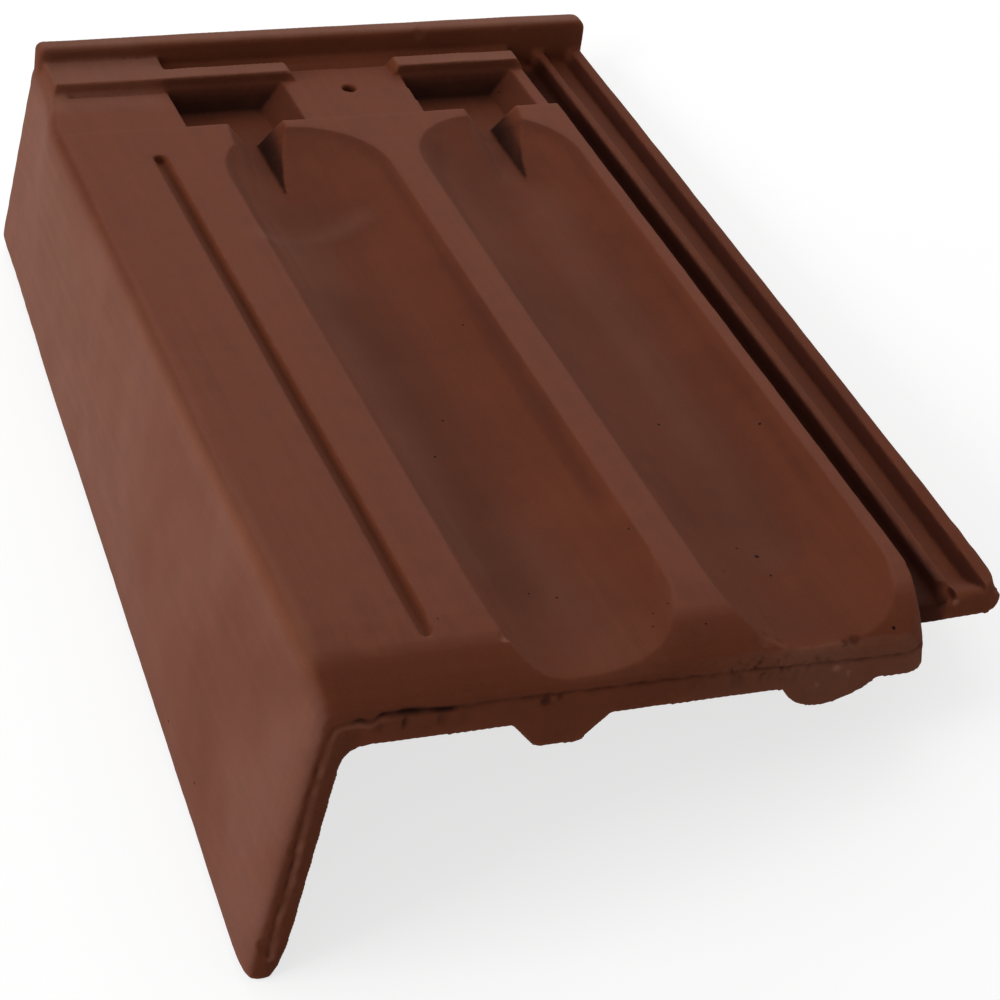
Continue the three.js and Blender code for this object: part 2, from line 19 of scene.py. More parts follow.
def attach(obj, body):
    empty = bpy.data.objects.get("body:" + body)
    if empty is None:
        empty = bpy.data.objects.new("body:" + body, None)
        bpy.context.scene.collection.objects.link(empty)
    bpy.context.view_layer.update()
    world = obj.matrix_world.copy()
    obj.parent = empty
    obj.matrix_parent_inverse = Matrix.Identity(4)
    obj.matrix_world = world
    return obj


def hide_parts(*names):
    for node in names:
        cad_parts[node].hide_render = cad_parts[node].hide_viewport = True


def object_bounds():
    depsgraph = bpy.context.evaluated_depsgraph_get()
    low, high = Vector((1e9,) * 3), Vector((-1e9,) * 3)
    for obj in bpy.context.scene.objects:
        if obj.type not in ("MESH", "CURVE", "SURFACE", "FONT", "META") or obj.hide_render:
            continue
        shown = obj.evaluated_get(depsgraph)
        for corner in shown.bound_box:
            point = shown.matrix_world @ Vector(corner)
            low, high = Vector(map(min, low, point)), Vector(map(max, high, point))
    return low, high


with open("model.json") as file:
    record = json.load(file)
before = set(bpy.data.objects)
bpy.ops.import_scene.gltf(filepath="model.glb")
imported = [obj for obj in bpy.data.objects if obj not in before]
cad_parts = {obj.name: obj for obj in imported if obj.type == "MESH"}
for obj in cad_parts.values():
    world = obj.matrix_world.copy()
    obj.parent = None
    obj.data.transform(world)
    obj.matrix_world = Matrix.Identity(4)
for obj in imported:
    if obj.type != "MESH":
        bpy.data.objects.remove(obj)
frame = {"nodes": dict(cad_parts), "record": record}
solid_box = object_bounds()

TILE_NODE = "verge_tile"
MM = 0.001

# Places on the tile that its dressing follows. What lies before FRONT_FACE is the front's own face.
NAIL_SEAT = (156.0, 408.0, -1.5)
PLATE_WIDTH = 236.0
FRONT_FACE = 3.0
LOCK_FRONT = 18.0
LOCK_SEAM_HEIGHT = -10.0
HEAD_RIB_FRONT = 414.0
HEAD_RIM_FRONT = 434.0

# The skirt and its fold lie left of this, and the skirt leans out by this share of its depth
SKIRT_SIDE = 26.0
SKIRT_LEAN = 0.1245

# Marks on the plate and in the troughs stay above this height, so the underside has none
LOWEST_TOP_MARK = -12.5

# The pockets in plan: their left walls, and the front, width and length of both
POCKETS_LEFT = (67.0, 174.5)
POCKET_FRONT = 384.0
POCKET_WIDTH = 54.0
POCKET_LENGTH = 36.0

# The troughs in plan, round at both ends: middle line, where it starts and ends, and half width
TROUGH_LINES = ((107.65, 59.15, 340.85), (193.95, 67.15, 340.85))
TROUGH_HALF_WIDTH = 36.15

# The seam that the mould leaves on the front, from the skirt's foot to the lock: x and z
SEAM = (
    (-7.2, -117.0), (-6.3, -100.0), (-3.5, -85.0), (-1.9, -70.0), (-0.1, -52.0), (3.0, -33.0),
    (4.5, -23.0), (6.7, -17.4), (10.5, -15.7), (16.0, -15.8), (20.0, -16.4), (24.0, -14.4),
    (34.0, -14.4), (48.0, -15.6), (66.0, -14.8), (104.0, -15.2), (142.0, -15.6), (181.0, -16.5),
    (221.0, -17.4), (238.0, -17.6),
)

# Lines along which crumbs of clay stuck: the seam, and the worn crest of the fold
SEAM_LINE = tuple((x, 0.6, z) for x, z in SEAM[1:-1])
FOLD_CREST = ((0.8, 196.0, -2.2), (0.8, 150.0, -2.2), (1.0, 100.0, -2.0))


# ---- the tile's own axes ----------------------------------------------------------------------


def tile_axes():
    """The matrix from the tile's own axes, in metres, to the scene, found from its nail seat."""
    seat = next(m for m in frame["record"]["mounts"] if m["name"] == "nail_seat")
    up = Vector(seat["axis"]).normalized()
    along = Vector((0.0, up.z, -up.y)).normalized()
    across = along.cross(up)
    turn = Matrix((across, along, up)).transposed()
    origin = Vector(seat["pos_m"]) - turn @ (Vector(NAIL_SEAT) * MM)
    return Matrix.Translation(origin) @ turn.to_4x4()


TO_SCENE = tile_axes()
TO_TILE = TO_SCENE.inverted()


def tile_place(x, y, z):
    """A point of the tile, in millimetres in its own axes, as a place in the scene."""
    return TO_SCENE @ (Vector((x, y, z)) * MM)


def points_on_tile(points):
    """Scene points as an array of millimetres in the tile's own axes."""
    turn = np.array(TO_TILE.to_3x3())
    return (points @ turn.T + np.array(TO_TILE.translation)) / MM


def put_in_scene(name, data):
    """A new object in the scene that shows the data."""
    made = bpy.data.objects.new(name, data)
    bpy.context.scene.collection.objects.link(made)
    return made


# ---- camera -----------------------------------------------------------------------------------

# Where the camera stands, what it looks at, and which way its right side points, on the tile
CAMERA_EYE = (-345.8, -840.8, 692.8)
CAMERA_AIM = (100.14, 94.76, 0.0)
CAMERA_RIGHT = (0.9286, -0.3490, 0.1263)

# Width of its film and focal length
CAMERA_FILM = 36.0
CAMERA_LENS = 123.408


def make_camera():
    """A long lens from above the front left corner, where the skirt and the troughs both show."""
    data = bpy.data.cameras.new("camera")
    camera = put_in_scene("camera", data)
    eye = tile_place(*CAMERA_EYE)
    back = (eye - tile_place(*CAMERA_AIM)).normalized()
    right = (TO_SCENE.to_3x3() @ Vector(CAMERA_RIGHT)).normalized()
    up = back.cross(right).normalized()
    right = up.cross(back)
    camera.matrix_world = Matrix.Translation(eye) @ Matrix((right, up, back)).transposed().to_4x4()
    data.sensor_width = CAMERA_FILM
    data.lens = CAMERA_LENS
    data.clip_start = 0.05
    data.clip_end = 20.0
    bpy.context.scene.camera = camera


make_camera()


# ---- nodes ------------------------------------------------------------------------------------


def add(tree, kind, settings=None, **sockets):
    """Adds a node with its settings. Each input that sockets name is joined or set: i and a number
    stand for an input's place, and any other name for its own, with _ for a space."""
    node = tree.nodes.new(kind)
    for name, value in (settings or {}).items():
        setattr(node, name, value)
    for name, value in sockets.items():
        by_place = name[0] == "i" and name[1:].isdigit()
        socket = node.inputs[int(name[1:]) if by_place else name.replace("_", " ")]
        if isinstance(value, bpy.types.NodeSocket):
            tree.links.new(value, socket)
        else:
            socket.default_value = value
    return node


# ---- seeded noise and soft steps --------------------------------------------------------------

NOISE_CELLS = 4096
NOISE_STRIDES = np.array((73856093, 19349663, 83492791))


def soft_noise(points, size, seed):
    """Smooth noise from -1 to 1 at an array of points, with lumps about one size across."""
    table = np.random.default_rng(seed).uniform(-1.0, 1.0, NOISE_CELLS)
    cell = points / size
    corner = np.floor(cell).astype(np.int64)
    part = cell - corner
    part = part * part * (3.0 - 2.0 * part)
    total = np.zeros(len(points))
    for step in np.ndindex(2, 2, 2):
        across, along, up = ((corner + step) * NOISE_STRIDES).T
        weight = np.where(step, part, 1.0 - part).T
        total += weight[0] * weight[1] * weight[2] * table[(across ^ along ^ up) % NOISE_CELLS]
    return total


def smooth_ramp(value, low, high):
    """0 below low, 1 above high, and a soft curve between."""
    share = np.clip((value - low) / (high - low), 0.0, 1.0)
    return share * share * (3.0 - 2.0 * share)


def span(value, start, full, fall, end):
    """0 before start and after end, 1 from full to fall, and a soft curve between."""
    return smooth_ramp(value, start, full) * (1.0 - smooth_ramp(value, fall, end))


def bump_at(distance, reach):
    """1 at no distance, falling softly to 0 at the reach."""
    return smooth_ramp(-np.abs(distance), -reach, 0.0)


# ---- meshes -----------------------------------------------------------------------------------


def as_modified(piece):
    """What the piece's modifiers make of its mesh, as a mesh of its own."""
    graph = bpy.context.evaluated_depsgraph_get()
    return bpy.data.meshes.new_from_object(piece.evaluated_get(graph))


def apply_modifiers(piece):
    """Replaces the piece's mesh by what its modifiers make of it."""
    made = as_modified(piece)
    piece.modifiers.clear()
    old = piece.data
    piece.data = made
    bpy.data.meshes.remove(old)


def read_points(mesh):
    """The places of the mesh's vertices, in metres, one row each."""
    points = np.empty(len(mesh.vertices) * 3)
    mesh.vertices.foreach_get("co", points)
    return points.reshape(-1, 3)


def read_normals(mesh):
    """The normals of the mesh's vertices, one row each."""
    normals = np.empty(len(mesh.vertices) * 3, np.float32)
    mesh.vertex_normals.foreach_get("vector", normals)
    return normals.reshape(-1, 3).astype(float)


def write_points(mesh, points):
    """Moves the mesh's vertices to new places, in metres."""
    mesh.vertices.foreach_set("co", points.ravel())
    mesh.update()


def links_of(mesh):
    """The two ends of each of a mesh's edges, and the number of edges at each vertex."""
    ends = np.empty(len(mesh.edges) * 2, np.int64)
    mesh.edges.foreach_get("vertices", ends)
    one, other = ends.reshape(-1, 2).T
    count = np.bincount(ends, minlength=len(mesh.vertices))
    return one, other, np.maximum(count, 1)


def mean_of_neighbours(value, links):
    """For each vertex, the mean of the value at the vertices that an edge joins it to."""
    one, other, count = links
    size = len(value)
    return (np.bincount(one, value[other], size) + np.bincount(other, value[one], size)) / count


# ---- crumbs of clay ---------------------------------------------------------------------------


def crumb_tree():
    """Crumbs of clay along a line: a grain at every step, each of its own size, turn and place."""
    tree = bpy.data.node_groups.new("clay_crumbs", "GeometryNodeTree")
    for name, kind, way in (
        ("Geometry", "NodeSocketGeometry", "INPUT"),
        ("Step", "NodeSocketFloat", "INPUT"),
        ("Crumb Radius", "NodeSocketFloat", "INPUT"),
        ("Scatter", "NodeSocketFloat", "INPUT"),
        ("Seed", "NodeSocketInt", "INPUT"),
        ("Clay", "NodeSocketMaterial", "INPUT"),
        ("Geometry", "NodeSocketGeometry", "OUTPUT"),
    ):
        tree.interface.new_socket(name=name, in_out=way, socket_type=kind)
    given = tree.nodes.new("NodeGroupInput").outputs
    # drawn for each grain: which way it lies off the line, its turn, and its size along each axis
    aside, turn, size = (
        add(
            tree, "FunctionNodeRandomValue", {"data_type": "FLOAT_VECTOR"},
            i0=least, i1=most, Seed=given["Seed"],
        ).outputs[0]
        for least, most in (
            ((-1.0, -1.0, -1.0), (1.0, 1.0, 1.0)),
            ((0.0, 0.0, 0.0), (6.28, 6.28, 6.28)),
            ((0.35, 0.25, 0.25), (1.5, 0.9, 0.8)),
        )
    )
    aside = add(
        tree, "ShaderNodeVectorMath", {"operation": "SCALE"}, i0=aside, Scale=given["Scatter"],
    ).outputs[0]
    line = add(tree, "GeometryNodeMeshToCurve", Mesh=given["Geometry"]).outputs["Curve"]
    points = add(
        tree, "GeometryNodeCurveToPoints", {"mode": "LENGTH"}, Curve=line, Length=given["Step"],
    ).outputs["Points"]
    points = add(tree, "GeometryNodeSetPosition", Geometry=points, Offset=aside).outputs["Geometry"]
    grain = add(
        tree, "GeometryNodeMeshIcoSphere", Radius=given["Crumb Radius"], Subdivisions=2,
    ).outputs["Mesh"]
    crumbs = add(
        tree, "GeometryNodeInstanceOnPoints",
        Points=points, Instance=grain, Rotation=turn, Scale=size,
    ).outputs["Instances"]
    crumbs = add(tree, "GeometryNodeRealizeInstances", Geometry=crumbs).outputs["Geometry"]
    crumbs = add(tree, "GeometryNodeSetMaterial", Geometry=crumbs, Material=given["Clay"]).outputs[0]
    tree.links.new(crumbs, tree.nodes.new("NodeGroupOutput").inputs["Geometry"])
    return tree


def crumbs_along(line, tree, clay, step, radius, scatter, seed):
    """The mesh of the crumbs that the mould leaves along a line of places on the tile."""
    mesh = bpy.data.meshes.new("crumbs")
    places = [tile_place(*place) for place in line]
    mesh.from_pydata(places, [(i, i + 1) for i in range(len(places) - 1)], [])
    piece = put_in_scene("crumbs", mesh)
    socket = {item.name: item.identifier for item in tree.interface.items_tree if item.in_out == "INPUT"}
    grown = piece.modifiers.new("crumbs", "NODES")
    grown.node_group = tree
    grown[socket["Step"]] = step * MM
    grown[socket["Crumb Radius"]] = radius * MM
    grown[socket["Scatter"]] = scatter * MM
    grown[socket["Seed"]] = seed
    grown[socket["Clay"]] = clay
    made = as_modified(piece)
    bpy.data.objects.remove(piece)
    return made


# ---- the skin and its relief ------------------------------------------------------------------

# Voxels of the skin, the gap within which the solid's points are merged, and the steps and share
# by which its edges are softened all over
VOXEL = 0.8
WELD_GAP = 0.001
SMOOTH_STEPS = 2
SMOOTH_SHARE = 0.5

# The further steps and share where the clay was soft
SOFTEN_STEPS = 26
SOFTEN_SHARE = 0.6

# No mark goes deeper than this
DEEPEST_MARK = 2.5

# The most triangles that the finished skin may have
TRIANGLE_BUDGET = 190000

# Chips and dents: place on the tile, reach, depth, and how bare of engobe they are. Below 0 they
# are as dark instead.
CHIPS = (
    ((74.0, 19.0, -3.0), 2.2, 0.6, 0.5),
    ((169.0, 6.8, -8.0), 4.0, 0.6, 0.1),
    ((175.0, 5.2, -9.4), 3.0, 0.6, 0.1),
    ((203.0, 3.6, -11.2), 2.6, 0.9, -0.5),
    ((199.5, 3.2, -11.4), 1.8, 0.7, -0.4),
    ((196.3, 0.0, -20.3), 1.7, 0.6, 0.7),
    ((202.0, 0.0, -22.5), 1.3, 0.5, 0.6),
    ((190.0, 0.0, -26.0), 1.1, 0.4, 0.5),
    ((84.0, 0.0, -17.5), 2.4, 0.9, -0.6),
    ((89.0, 0.0, -16.8), 1.8, 0.7, -0.5),
    ((252.0, 18.0, -11.5), 1.6, 0.6, 0.7),
    ((237.0, 2.0, -21.0), 3.0, 0.7, -0.2),
    ((-2.0, 0.0, -70.0), 2.4, 0.5, 0.0),
    ((-9.0, 0.0, -112.0), 3.2, 0.8, 0.0),
    ((236.0, 438.0, 8.0), 3.0, 0.6, 0.1),
    ((190.0, 439.6, 7.4), 3.4, 0.5, 0.1),
    ((0.5, 148.0, -3.0), 1.4, 0.4, 0.7),
    ((0.3, 136.0, -3.5), 1.3, 0.4, 0.7),
    ((0.5, 112.0, -3.0), 1.2, 0.3, 0.6),
    ((21.0, 212.0, 0.0), 9.0, 0.20, 0.0),
    ((29.0, 190.0, 0.0), 8.0, -0.16, 0.0),
    ((14.0, 181.0, 0.0), 7.0, 0.16, 0.0),
    ((27.0, 226.0, 0.0), 7.0, -0.14, 0.0),
    ((17.0, 238.0, 0.0), 6.0, 0.14, 0.0),
)

# Long faint marks left by the press: places along each, half width, and how far they stand out
LONG_MARKS = (
    (((28.8, 338.0), (23.1, 240.0), (20.0, 167.0), (15.2, 27.0)), 1.8, -0.17),
    (((9.5, 200.0), (7.0, 160.0), (6.3, 120.0)), 1.6, -0.22),
    (((71.0, 288.0), (88.0, 297.0), (101.0, 299.0), (112.0, 303.0), (120.0, 309.0)), 6.0, 0.22),
    (((189.5, 318.0), (187.8, 295.0), (190.0, 258.0), (192.5, 220.0), (193.5, 150.0)), 4.0, 0.16),
)


def soft_skin(crumbs):
    """The solid and its crumbs as one closed skin, with the soft edges that a mould gives clay."""
    mesh = bpy.data.meshes.new("dressed_verge_tile")
    joined = bmesh.new()
    joined.from_mesh(frame["nodes"][TILE_NODE].data)
    bmesh.ops.remove_doubles(joined, verts=joined.verts, dist=WELD_GAP * MM)
    for grains in crumbs:
        joined.from_mesh(grains)
    joined.to_mesh(mesh)
    joined.free()
    piece = put_in_scene("dressed_verge_tile", mesh)
    skin = piece.modifiers.new("skin", "REMESH")
    skin.mode = "VOXEL"
    skin.voxel_size = VOXEL * MM
    skin.adaptivity = 0.0
    worn = piece.modifiers.new("worn", "SMOOTH")
    worn.factor = SMOOTH_SHARE
    worn.iterations = SMOOTH_STEPS
    apply_modifiers(piece)
    return piece


def soft_places(points):
    """Where the clay was still soft enough to round off, from 0 to 1: the outer edge of the skirt's
    front, the banks of the throats, and the skirt's turn at the head."""
    x, y, z = points.T
    skirt_edge = np.hypot(x - SKIRT_LEAN * z, y)
    share = bump_at(skirt_edge, 11.0) * smooth_ramp(-z, 17.0, 30.0)
    for left in POCKETS_LEFT:
        across = span(x, left + 5.0, left + 8.0, left + 25.0, left + 30.0)
        along = span(y, 312.0, 325.0, 378.0, 383.0)
        share = np.maximum(share, across * along * smooth_ramp(-z, 0.6, 2.0) * (z > -12.0))
    turn = smooth_ramp(y, 350.0, 390.0) * smooth_ramp(-z, 3.0, 12.0) * (1.0 - smooth_ramp(x, 16.0, 24.0))
    return np.maximum(share, turn)


def soften(piece):
    """Rounds the skin off further where the clay was soft."""
    mesh = piece.data
    points = read_points(mesh)
    share = SOFTEN_SHARE * soft_places(points_on_tile(points))
    links = links_of(mesh)
    for _ in range(SOFTEN_STEPS):
        for axis in range(3):
            value = points[:, axis]
            points[:, axis] = value + share * (mean_of_neighbours(value, links) - value)
    write_points(mesh, points)


def away_from_path(points, path):
    """Distance across the plate, in millimetres, from each point to a line through places."""
    nearest = np.full(len(points), np.inf)
    for (x0, y0), (x1, y1) in zip(path, path[1:]):
        dx, dy = x1 - x0, y1 - y0
        share = ((points[:, 0] - x0) * dx + (points[:, 1] - y0) * dy) / (dx * dx + dy * dy)
        share = np.clip(share, 0.0, 1.0)
        gap = np.hypot(points[:, 0] - x0 - share * dx, points[:, 1] - y0 - share * dy)
        nearest = np.minimum(nearest, gap)
    return nearest


def from_seam(points):
    """Distance from the front seam in millimetres, above 0 on the side of the plate's top."""
    nearest = np.full(len(points), np.inf)
    side = np.zeros(len(points))
    for (x0, z0), (x1, z1) in zip(SEAM, SEAM[1:]):
        dx, dz = x1 - x0, z1 - z0
        across, up = points[:, 0] - x0, points[:, 2] - z0
        share = np.clip((across * dx + up * dz) / (dx * dx + dz * dz), 0.0, 1.0)
        gap = np.hypot(across - share * dx, up - share * dz)
        side = np.where(gap < nearest, np.sign(dx * up - dz * across), side)
        nearest = np.minimum(gap, nearest)
    return nearest * side


def front_seam(points):
    """How far the skin stands out along the front seam, how much painted shade darkens its crack,
    scratches and pits, and how much painted highlight lies along its ridge."""
    shift, dark, ridge_highlight = np.zeros((3, len(points)))
    front = np.flatnonzero((points[:, 1] < 7.0) & (points[:, 0] < PLATE_WIDTH + 4.0))
    points = points[front]
    x = points[:, 0]
    side = from_seam(points) - 0.35 * soft_noise(points, 4.0, seed=13)
    ragged = 0.6 + 0.4 * soft_noise(points, 4.0, seed=15)
    # the crack is torn wider beside the fold, with a ridge under it
    torn = span(x, 8.0, 18.0, 48.0, 62.0)
    half = 0.42 + 0.40 * torn + 0.16 * soft_noise(points, 2.5, seed=14)
    crack = bump_at(side, 2.0 * half) * (0.75 + 0.5 * torn) * ragged
    ridge = bump_at(side + 1.8, 1.9) * 0.32 * ragged
    # scratches run down from it where the clay was dragged, and pits lie around it further right
    dragged = bump_at(x - 36.0, 26.0) + 0.5 * bump_at(x - 165.0, 44.0)
    below = span(-side, 0.8, 2.0, 5.0, 8.5)
    scratches = np.maximum(0.0, soft_noise(points * [1.0, 1.0, 0.25], 1.6, seed=16)) * dragged * below
    around = bump_at(side - 1.0, 5.5) * bump_at(x - 168.0, 48.0)
    pits = smooth_ramp(soft_noise(points, 1.5, seed=19), 0.35, 0.6) * around
    shift[front] = ridge - crack - 0.7 * scratches - 0.5 * pits
    # painted shade in the crack, the scratches and the pits
    dark[front] = np.clip(
        bump_at(side, 2.0 * half) * ragged * (0.8 + 0.7 * torn) + 0.9 * scratches + 0.7 * pits,
        0.0, 1.0,
    )
    # a painted highlight along the ridge under the crack, near the fold
    ridge_highlight[front] = 0.55 * bump_at(side + 1.9, 1.5) * ragged * (1.0 - smooth_ramp(x, 12.0, 40.0))
    return shift, dark, ridge_highlight


def lock_seam(points):
    """How far the skin stands out along the seam on the front of the lock."""
    x, y, z = points.T
    on_lock = (x > PLATE_WIDTH) & (y < LOCK_FRONT + 4.0)
    ragged = 0.55 + 0.45 * soft_noise(points, 5.0, seed=11)
    line = LOCK_SEAM_HEIGHT + 0.4 * soft_noise(points, 6.0, seed=18)
    return bump_at(z - line, 1.2) * ragged * 0.4 * on_lock


def plate_marks(points):
    """How far the skin stands out at the long faint marks on the plate and in the troughs."""
    shift = np.zeros(len(points))
    for path, half_width, height in LONG_MARKS:
        shift += bump_at(away_from_path(points, path), half_width) * height
    return shift * (points[:, 2] > LOWEST_TOP_MARK)


def hand_of_the_press(piece):
    """Moves the skin by the small unevenness of a pressed and fired tile."""
    mesh = piece.data
    points = read_points(mesh)
    normals = read_normals(mesh)
    on_tile = points_on_tile(points)
    shift = 0.22 * soft_noise(on_tile, 46.0, seed=1) + 0.10 * soft_noise(on_tile, 17.0, seed=2)
    shift += 0.05 * soft_noise(on_tile, 6.0, seed=3)
    shift += front_seam(on_tile)[0] + lock_seam(on_tile) + plate_marks(on_tile)
    for place, reach, depth, _ in CHIPS:
        away = np.linalg.norm(on_tile - np.array(place), axis=1)
        near = away < reach * 1.6
        rough = 1.0 + 0.35 * soft_noise(on_tile[near], 1.8, seed=21)
        shift[near] -= depth * rough * smooth_ramp(-away[near] / reach, -1.15, -0.35)
    points += normals * (np.maximum(shift, -DEEPEST_MARK) * MM)[:, None]
    lowest, highest = (np.array(corner) for corner in solid_box)
    write_points(mesh, np.clip(points, lowest, highest))


def thin_out(piece):
    """Fewer triangles where the skin is flat."""
    count = sum(len(p.vertices) - 2 for p in piece.data.polygons)
    fewer = piece.modifiers.new("fewer", "DECIMATE")
    fewer.ratio = min(1.0, TRIANGLE_BUDGET / count)
    apply_modifiers(piece)
    piece.data.polygons.foreach_set("use_smooth", [True] * len(piece.data.polygons))
    piece.data.update()


def drop_loose_bits(piece):
    """Keeps only the largest joined part of the skin."""
    shape = bmesh.new()
    shape.from_mesh(piece.data)
    unseen = set(shape.verts)
    parts = []
    while unseen:
        part = []
        waiting = [unseen.pop()]
        while waiting:
            vertex = waiting.pop()
            part.append(vertex)
            for edge in vertex.link_edges:
                other = edge.other_vert(vertex)
                if other in unseen:
                    unseen.remove(other)
                    waiting.append(other)
        parts.append(part)
    parts.sort(key=len)
    for part in parts[:-1]:
        bmesh.ops.delete(shape, geom=part, context="VERTS")
    shape.to_mesh(piece.data)
    shape.free()


# ---- wear of the engobe, and painted light and shade ------------------------------------------

# Steps by which the measured bend is evened out, and the shortest edge that it is measured on
BEND_SMOOTH_STEPS = 4
SHORTEST_EDGE = 0.2

# Streaks of pale painted light and sheen: places along each, half width, and how strong it is
PAINTED_LIGHT_STREAKS = (
    (((71.0, 292.0), (88.0, 301.0), (101.0, 303.0), (112.0, 307.0), (122.0, 313.0)), 9.0, 0.20),
    (((204.0, 318.0), (202.0, 245.0), (200.5, 199.0), (197.0, 120.0), (192.0, 60.0)), 17.0, 0.14),
    (((88.0, 300.0), (86.0, 230.0), (85.0, 160.0), (82.0, 70.0)), 20.0, 0.16),
    (((98.0, 84.0), (104.0, 52.0), (112.0, 12.0)), 30.0, 0.14),
    (((5.5, 380.0), (4.5, 150.0), (3.5, 20.0)), 6.0, 0.24),
)

# Streaks of painted shade in the troughs and on their banks: places along each, half width, and how dark
SHADE_STREAKS = (
    (((96.0, 250.0), (98.0, 170.0), (96.0, 100.0), (92.0, 60.0)), 22.0, 0.26),
    (
        ((118.0, 376.0), (134.0, 364.0), (141.0, 345.0), (141.5, 300.0), (139.5, 180.0), (138.5, 90.0)),
        6.0, 0.34,
    ),
    (((74.0, 356.0), (72.0, 330.0), (71.0, 290.0)), 7.0, 0.30),
    (((212.0, 290.0), (211.0, 200.0), (206.0, 120.0), (200.0, 70.0)), 26.0, 0.22),
    (
        ((206.0, 376.0), (221.0, 362.0), (227.0, 342.0), (227.5, 300.0), (225.0, 180.0), (223.0, 70.0)),
        5.0, 0.26,
    ),
    (((170.0, 356.0), (161.0, 334.0), (158.5, 290.0)), 7.0, 0.26),
)


def bend_of(points, normals, links):
    """How sharply the skin bends at each vertex, in radians per millimetre: above 0 on a crest."""
    one, other, count = links
    step = (points[other] - points[one]) / MM
    squared = np.maximum((step * step).sum(1), SHORTEST_EDGE * SHORTEST_EDGE)
    bend = ((normals[other] - normals[one]) * step).sum(1) / squared
    size = len(points)
    value = (np.bincount(one, bend, size) + np.bincount(other, bend, size)) / count
    for _ in range(BEND_SMOOTH_STEPS):
        value = 0.4 * value + 0.6 * mean_of_neighbours(value, links)
    return value


def sheen_wear_and_shade(points, facing, bend):
    """How far each place is flat ground on top or the skirt's side, which get painted sheen and light,
    a worn crest, or a crease, which gets painted shade.
    """
    x, y, z = points.T
    # flat tops and the skirt's side get painted sheen and light
    flat_top = smooth_ramp(facing[:, 2], 0.88, 0.975) * smooth_ramp(z, -3.6, -1.6) * (x > -2.0)
    on_skirt = smooth_ramp(-facing[:, 0], 0.2, 0.6) * smooth_ramp(-z, 0.6, 7.0) * (x < SKIRT_SIDE)
    fold = bump_at(x - 2.4, 3.4) * smooth_ramp(-z, -0.5, 0.8) * smooth_ramp(z, -9.0, -4.0)
    patchy = 0.7 + 0.3 * soft_noise(points, 9.0, seed=41)
    crest = np.maximum(0.45 * smooth_ramp(bend, 0.08, 0.34), 0.5 * fold) * patchy
    # the fold is less worn towards the head
    crest *= 1.0 - 0.8 * smooth_ramp(y, 350.0, 390.0) * (x < 30.0)
    # painted shade in creases
    crease_shade = smooth_ramp(-bend, 0.10, 0.45)
    return flat_top, on_skirt, crest, crease_shade


def painted_shade_in_recesses(points, facing):
    """How much painted shade darkens the pockets' backs and floors and the beaks' sheltered sides."""
    x, y, z = points.T
    recess_shade = np.zeros(len(points))
    for left in POCKETS_LEFT:
        across = (x > left - 1.0) & (x < left + POCKET_WIDTH + 1.0)
        inside = across & (y > POCKET_FRONT) & (y < POCKET_FRONT + POCKET_LENGTH + 2.0)
        back = smooth_ramp(-facing[:, 1], 0.4, 0.8) * (0.35 + 0.50 * smooth_ramp(-z, 0.0, 8.0))
        floor = smooth_ramp(facing[:, 2], 0.5, 0.9) * smooth_ramp(-z, 4.0, 8.0) * 0.75
        floor *= smooth_ramp(y, POCKET_FRONT + 20.0, POCKET_FRONT + 33.0)
        recess_shade = np.maximum(recess_shade, inside * np.maximum(back, floor))
        beak = (x > left + 28.0) & (x < left + 46.0) & (y > 335.0) & (y < POCKET_FRONT + 1.0)
        sheltered = smooth_ramp(-facing[:, 0], 0.45, 0.7)
        recess_shade = np.maximum(recess_shade, beak * sheltered * smooth_ramp(-z, 2.0, 7.0) * 0.80)
    return recess_shade


def painted_light_on_ledges(points, facing):
    """How much pale painted light and sheen lies on the high ledges at the head, on the skirt, on the
    front's right half and in streaks."""
    x, y, z = points.T
    # painted light on the head's left ledges, the rim's top, up-facing ledges, the skirt's side and the
    # front's right half
    shelf = smooth_ramp(y, 398.0, 412.0) * (1.0 - smooth_ramp(x, 56.0, 70.0)) * (z > -4.0)
    shelf *= 0.35 + 0.65 * smooth_ramp(facing[:, 2], 0.2, 0.8)
    rim = smooth_ramp(z, 8.2, 9.2) * (y > HEAD_RIM_FRONT)
    ledge = smooth_ramp(facing[:, 2], 0.5, 0.9) * smooth_ramp(z, 0.6, 2.0) * (y > HEAD_RIB_FRONT)
    skirt = (x < SKIRT_SIDE) * smooth_ramp(-facing[:, 0], 0.1, 0.5) * smooth_ramp(-z, 3.0, 14.0)
    skirt *= smooth_ramp(y, 100.0, 360.0)
    front = (y < FRONT_FACE) * smooth_ramp(x, 120.0, 190.0) * (x < PLATE_WIDTH + 2.0)
    painted_light = np.maximum.reduce([0.36 * shelf, 0.60 * rim, 0.45 * ledge, 0.48 * skirt, 0.30 * front])
    for path, half_width, lightness in PAINTED_LIGHT_STREAKS:
        streak = lightness * bump_at(away_from_path(points, path), half_width)
        painted_light = np.maximum(painted_light, streak * (z > LOWEST_TOP_MARK))
    return painted_light


